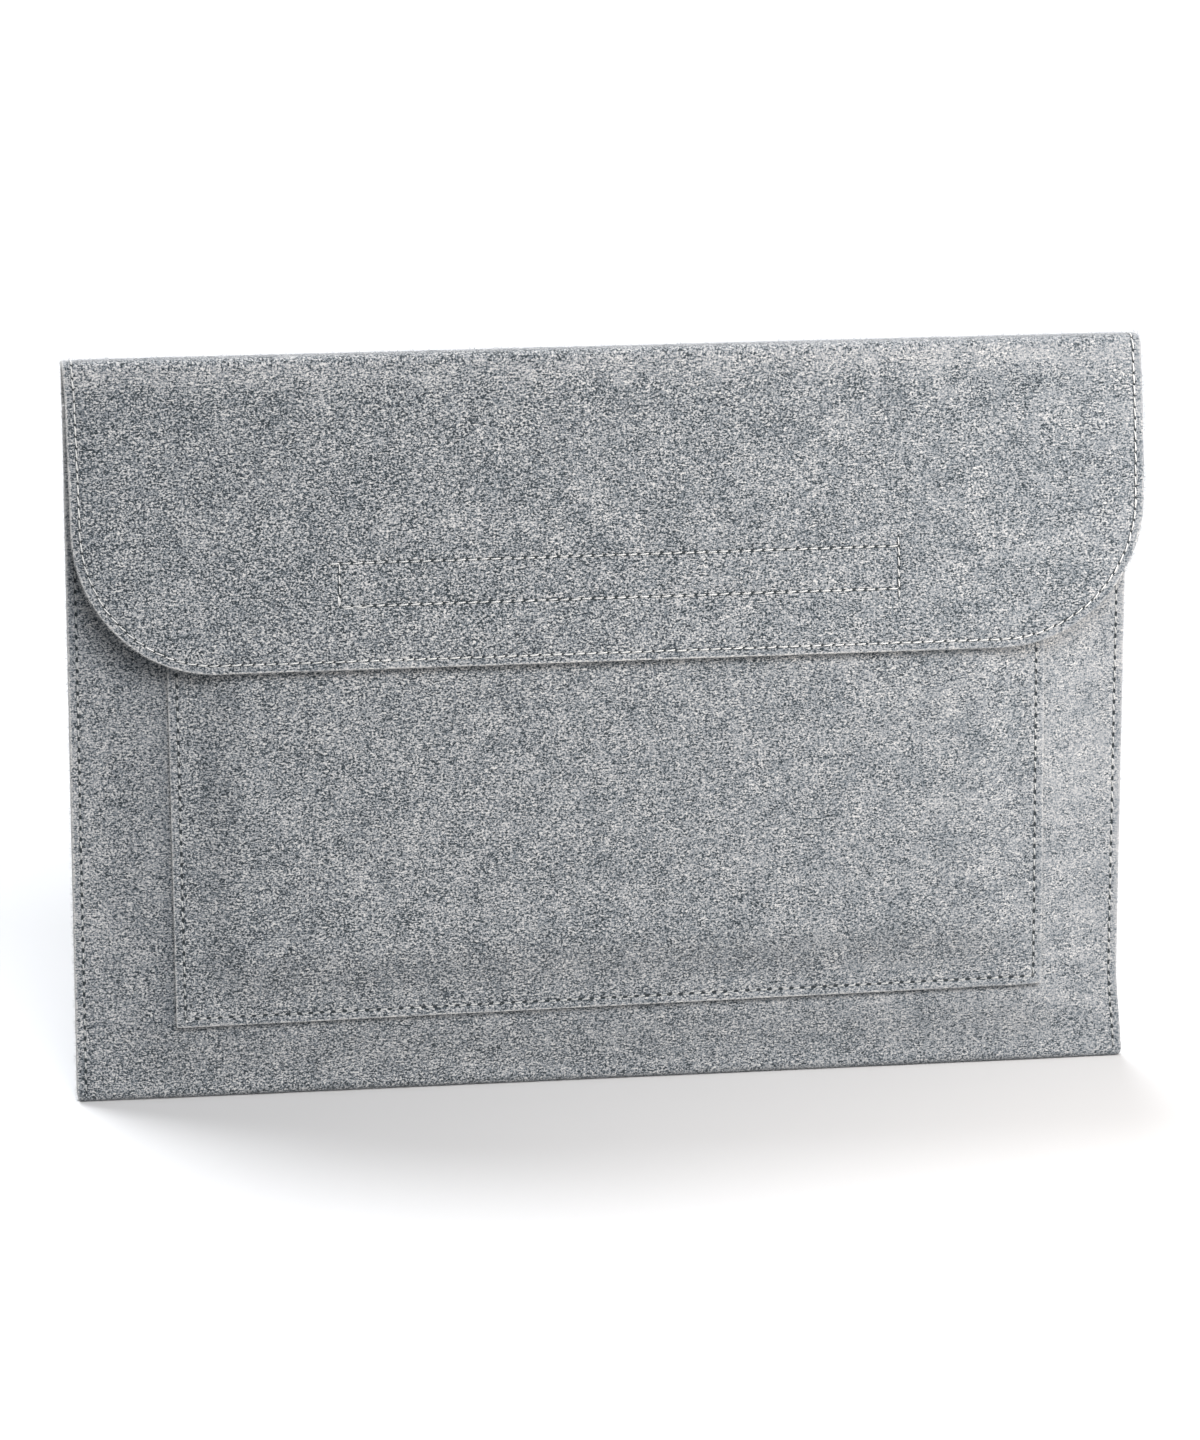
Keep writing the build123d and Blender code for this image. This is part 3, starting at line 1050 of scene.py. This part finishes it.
# ---- loose fibres ----
inset = 1.0                # of the stretches with fibres from the cut edges
flap_fold_q = (flap_bend_start + flap_tangent) / 2
body_edge = [(-half, body_length - 3), (-half, 2), (half, 2), (half, body_length - 3)]
body_edge_fibres = fibres("felt_body_edge_fibres", body, [
    edge_fibres(body_edge, 1.6, 31),
    fold_fibres(bend_v, 32),
], 34)
body_face_fibres = fibres("felt_body_face_fibres", body, [
    face_fibres((-half + inset, 100), (half - inset, body_length - inset), 33),
], 43)
flap_fibres = fibres("felt_flap_fibres", flap, [
    edge_fibres(flap_u(0), 3.0, 35),
    fold_fibres(flap_fold_q, 36),
    face_fibres((-half + inset, flap_start + inset), (half - inset, corner_q), 37),
    face_fibres((-corner_x, corner_q), (corner_x, flap_length - inset), 38),
], 39)
pocket_fibres = fibres("felt_pocket_fibres", pocket, [
    edge_fibres(pocket_outline, 2.5, 40),
    face_fibres((-pocket_half + inset, inset), (pocket_half - inset, pocket_height - inset), 41),
], 42)

# ---- stitches ----
deep, middling, shallow = 0.40, 0.16, 0.10


def inner_back(line):
    """The part of a back seam above the front panel's top edge, where the back felt is alone."""
    (u, _), (_, end) = line
    return [(u, float(back_v(u, mouth_z + 1.5))), (u, end)]


def on_front(x, z):
    """The place on the body's flat cut of a point of the front panel."""
    return float(x), float(front_v(x, z))


pocket_under = [
    [on_front(x, z) for x, _, z in pocket_surface(*np.array(line, float).T)] for line in pocket_seam
]


def sewn(sheet, lines, height, sunk):
    return [(sheet, line, height, sunk) for line in lines]


side_threads = []
for side, (front, back), seed in (("left", left_seam, 1), ("right", right_seam, 3)):
    needle = stitches(f"{side}_seam_needle_stitches", [
        (body, front, face, deep), (body, inner_back(back), -face, deep),
    ], seed)
    bobbin = stitches(f"{side}_seam_bobbin_stitches", [(body, back, face, deep)], seed + 1)
    side_threads += [(needle, [f"{side}_seam_needle_thread"]), (bobbin, [f"{side}_seam_bobbin_thread"])]
pocket_needle = stitches("pocket_needle_stitches", sewn(pocket, pocket_seam, face, deep), 5)
pocket_bobbin = stitches("pocket_bobbin_stitches", sewn(body, pocket_under, -face, deep), 6)
edge_needle = stitches("flap_edge_needle_stitches", [(flap, flap_u(seam_inset), face, shallow)], 7)
edge_bobbin = stitches("flap_edge_bobbin_stitches", [(flap, flap_u(seam_inset), -face, shallow)], 8)

# The closure's seam ends at its lower left corner, with a few stitches that run back over it.
end_u, end_q = hook_box[3][0]
back_tack = [
    [(end_u + 0.4, end_q + 0.7), (end_u + 9.5, end_q + 0.5)],
    [(end_u - 0.5, end_q - 4.2), (end_u - 0.3, end_q + 0.3)],
]
loop_box = [
    [on_front(x, z) for x, z in line]
    for line in closure_box(loop_low.z + strip_inset, loop_high.z - strip_inset)
]
on_tape = face + tape_thick
hook_needle = stitches("hook_tape_needle_stitches", sewn(flap, hook_box + back_tack, face, middling), 9)
hook_bobbin = stitches("hook_tape_bobbin_stitches", sewn(flap, hook_box_inside, -on_tape, shallow), 10)
loop_needle = stitches("loop_tape_needle_stitches", sewn(body, loop_box, on_tape, shallow), 11)
loop_bobbin = stitches("loop_tape_bobbin_stitches", sewn(body, loop_box, -face, shallow), 12)

# ---- hook and loop tapes ----
strip_long = hook_high.x - hook_low.x
strip_wide = hook_base_q - hook_top_q
hook_mid_q = (hook_base_q + hook_top_q) / 2
loop_mid_z = (loop_low.z + loop_high.z) / 2
bristle_pitch = 1.5
bristle_radius = 0.1


def on_flap_inside(x, y, h):
    uv = np.stack([closure_x + x, hook_mid_q - y], axis=1)
    return flap.lift(uv, -face - h)


def on_strap(x, y, h):
    u = closure_x + x
    return body.lift(np.stack([u, front_v(u, loop_mid_z + y)], axis=1), face + h)


def tape(name, place, facing, material):
    """Thin woven strip with rounded edges. place(x, y, h) gives points at height h over the felt."""
    nx, ny = 100, 14
    side, edge_step, inner_step = strip_wide / 2, 0.2, 0.8
    xs = np.linspace(-strip_long / 2, strip_long / 2, nx)
    inner = np.linspace(-side + inner_step, side - inner_step, ny - 4)
    ys = np.array([-side, -side + edge_step, *inner, side - edge_step, side])
    gx, gy = (grid.ravel() for grid in np.meshgrid(xs, ys))
    from_side = np.minimum(side - np.abs(gy), strip_long / 2 - np.abs(gx))
    top = tape_thick * (0.45 + 0.55 * ease(from_side / 0.5))
    count = len(gx)
    points = np.concatenate([place(gx, gy, top), place(gx, gy, 0.03 + 0 * top)])
    skin = grid_faces(ny, nx)[:, ::facing]
    faces = skin.tolist() + (skin[:, ::-1] + count).tolist()
    loop = rim_of(faces[: len(skin)])
    faces += [[a, a + count, b + count, b] for a, b in zip(loop, loop[1:] + loop[:1])]
    flat = np.stack([gx, gy, 0 * gx], axis=1)
    return new_mesh(name, points, faces, {"tape_pos": np.concatenate([flat, flat])}, material)


def bristles(name, place, shape, material, seed):
    """Rows of short bent threads standing on a tape; shape(t, random) gives a thread's side and up."""
    random = np.random.default_rng(seed)
    rings, sides = 6, 4
    t = np.linspace(0, 1, rings)
    angle = np.linspace(0, 2 * math.pi, sides, endpoint=False)
    cos, sin = np.cos(angle)[None, :, None], np.sin(angle)[None, :, None]
    field_x, field_y = strip_long / 2 - 4.5, strip_wide / 2 - 4.0
    points, own = [], []
    for i, x in enumerate(np.arange(-field_x, field_x, bristle_pitch)):
        for j, y in enumerate(np.arange(-field_y, field_y + 0.01, bristle_pitch)):
            turn = (0 if j % 2 else math.pi) + random.normal() * 0.35
            lean, up = shape(t, random)
            from_x = x + random.normal() * 0.12
            from_y = y + random.normal() * 0.12 + (bristle_pitch / 2 if i % 2 else 0)
            lean_x, lean_y = lean * math.cos(turn), lean * math.sin(turn)
            middle = np.stack([from_x + lean_x, from_y + lean_y, up], axis=1)
            along = unit(np.diff(middle, axis=0, append=2 * middle[-1:] - middle[-2:-1]))
            first = unit(np.cross(along, (math.sin(turn), -math.cos(turn), 0.02)))
            second = np.cross(along, first)
            ring = middle[:, None] + bristle_radius * (cos * first[:, None] + sin * second[:, None])
            ring_x, ring_y, ring_h = ring.reshape(-1, 3).T
            points.append(place(ring_x, ring_y, tape_thick + ring_h))
            own.append(np.tile([x * 7.0, y * 7.0, 0.0], (rings * sides, 1)))
    faces = tube_faces(len(points), rings, sides)
    own = {"tape_pos": np.concatenate(own)}
    return new_mesh(name, np.concatenate(points), faces, own, material)


def hook_shape(t, _):
    """A stem that bends over into a hook."""
    return 0.5 * ease((t - 0.35) / 0.65), 0.55 * np.sin(t * 2.5)


def loop_shape(t, random):
    """A low loop that starts and ends on the tape."""
    wide = 0.5 + 0.15 * random.normal()
    return wide * (t - 0.5) * 2, (0.42 + 0.08 * random.normal()) * np.sin(math.pi * t)


hook_tape = tape("hook_tape_base", on_flap_inside, -1, hook_tape_material)
hooks = bristles("hook_tape_hooks", on_flap_inside, hook_shape, hook_material, 21)
loop_tape = tape("loop_tape_base", on_strap, 1, loop_tape_material)
loops = bristles("loop_tape_loops", on_strap, loop_shape, loop_material, 22)

# ---- what each piece stands for, and the body that each riding piece moves with ----
bending = (
    (back_crease, 1, "body", "fold", (
        (felt_body, ["back_panel", "bottom_fold", "front_panel"]),
        *side_threads,
        (body_edge_fibres, []),
        (body_face_fibres, []),
    )),
    (front_crease, -1, "fold", "flap", (
        (felt_flap, ["flap_fold", "flap_panel"]),
        (edge_needle, ["flap_edge_needle_thread", "fold_edge_thread"]),
        (edge_bobbin, ["flap_edge_bobbin_thread"]),
        (flap_fibres, []),
    )),
)
riding = (
    ("body", (
        (felt_pocket, ["pocket_panel"]),
        (pocket_needle, ["pocket_needle_thread"]),
        (pocket_bobbin, ["pocket_bobbin_thread"]),
        (loop_tape, ["loop_strip"]),
        (loops, ["loop_strip"]),
        (loop_needle, ["loop_strip_needle_thread"]),
        (loop_bobbin, ["loop_strip_bobbin_thread"]),
        (pocket_fibres, []),
    )),
    ("flap", (
        (hook_tape, ["hook_strip"]),
        (hooks, ["hook_strip"]),
        (hook_needle, ["hook_strip_needle_thread"]),
        (hook_bobbin, ["hook_strip_bobbin_thread"]),
    )),
)
for crease, up, near_body, far_body, pieces in bending:
    for piece, nodes in pieces:
        if nodes:
            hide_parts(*nodes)
        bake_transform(piece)
for holder, pieces in riding:
    for piece, nodes in pieces:
        if nodes:
            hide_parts(*nodes)
        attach(piece, holder)
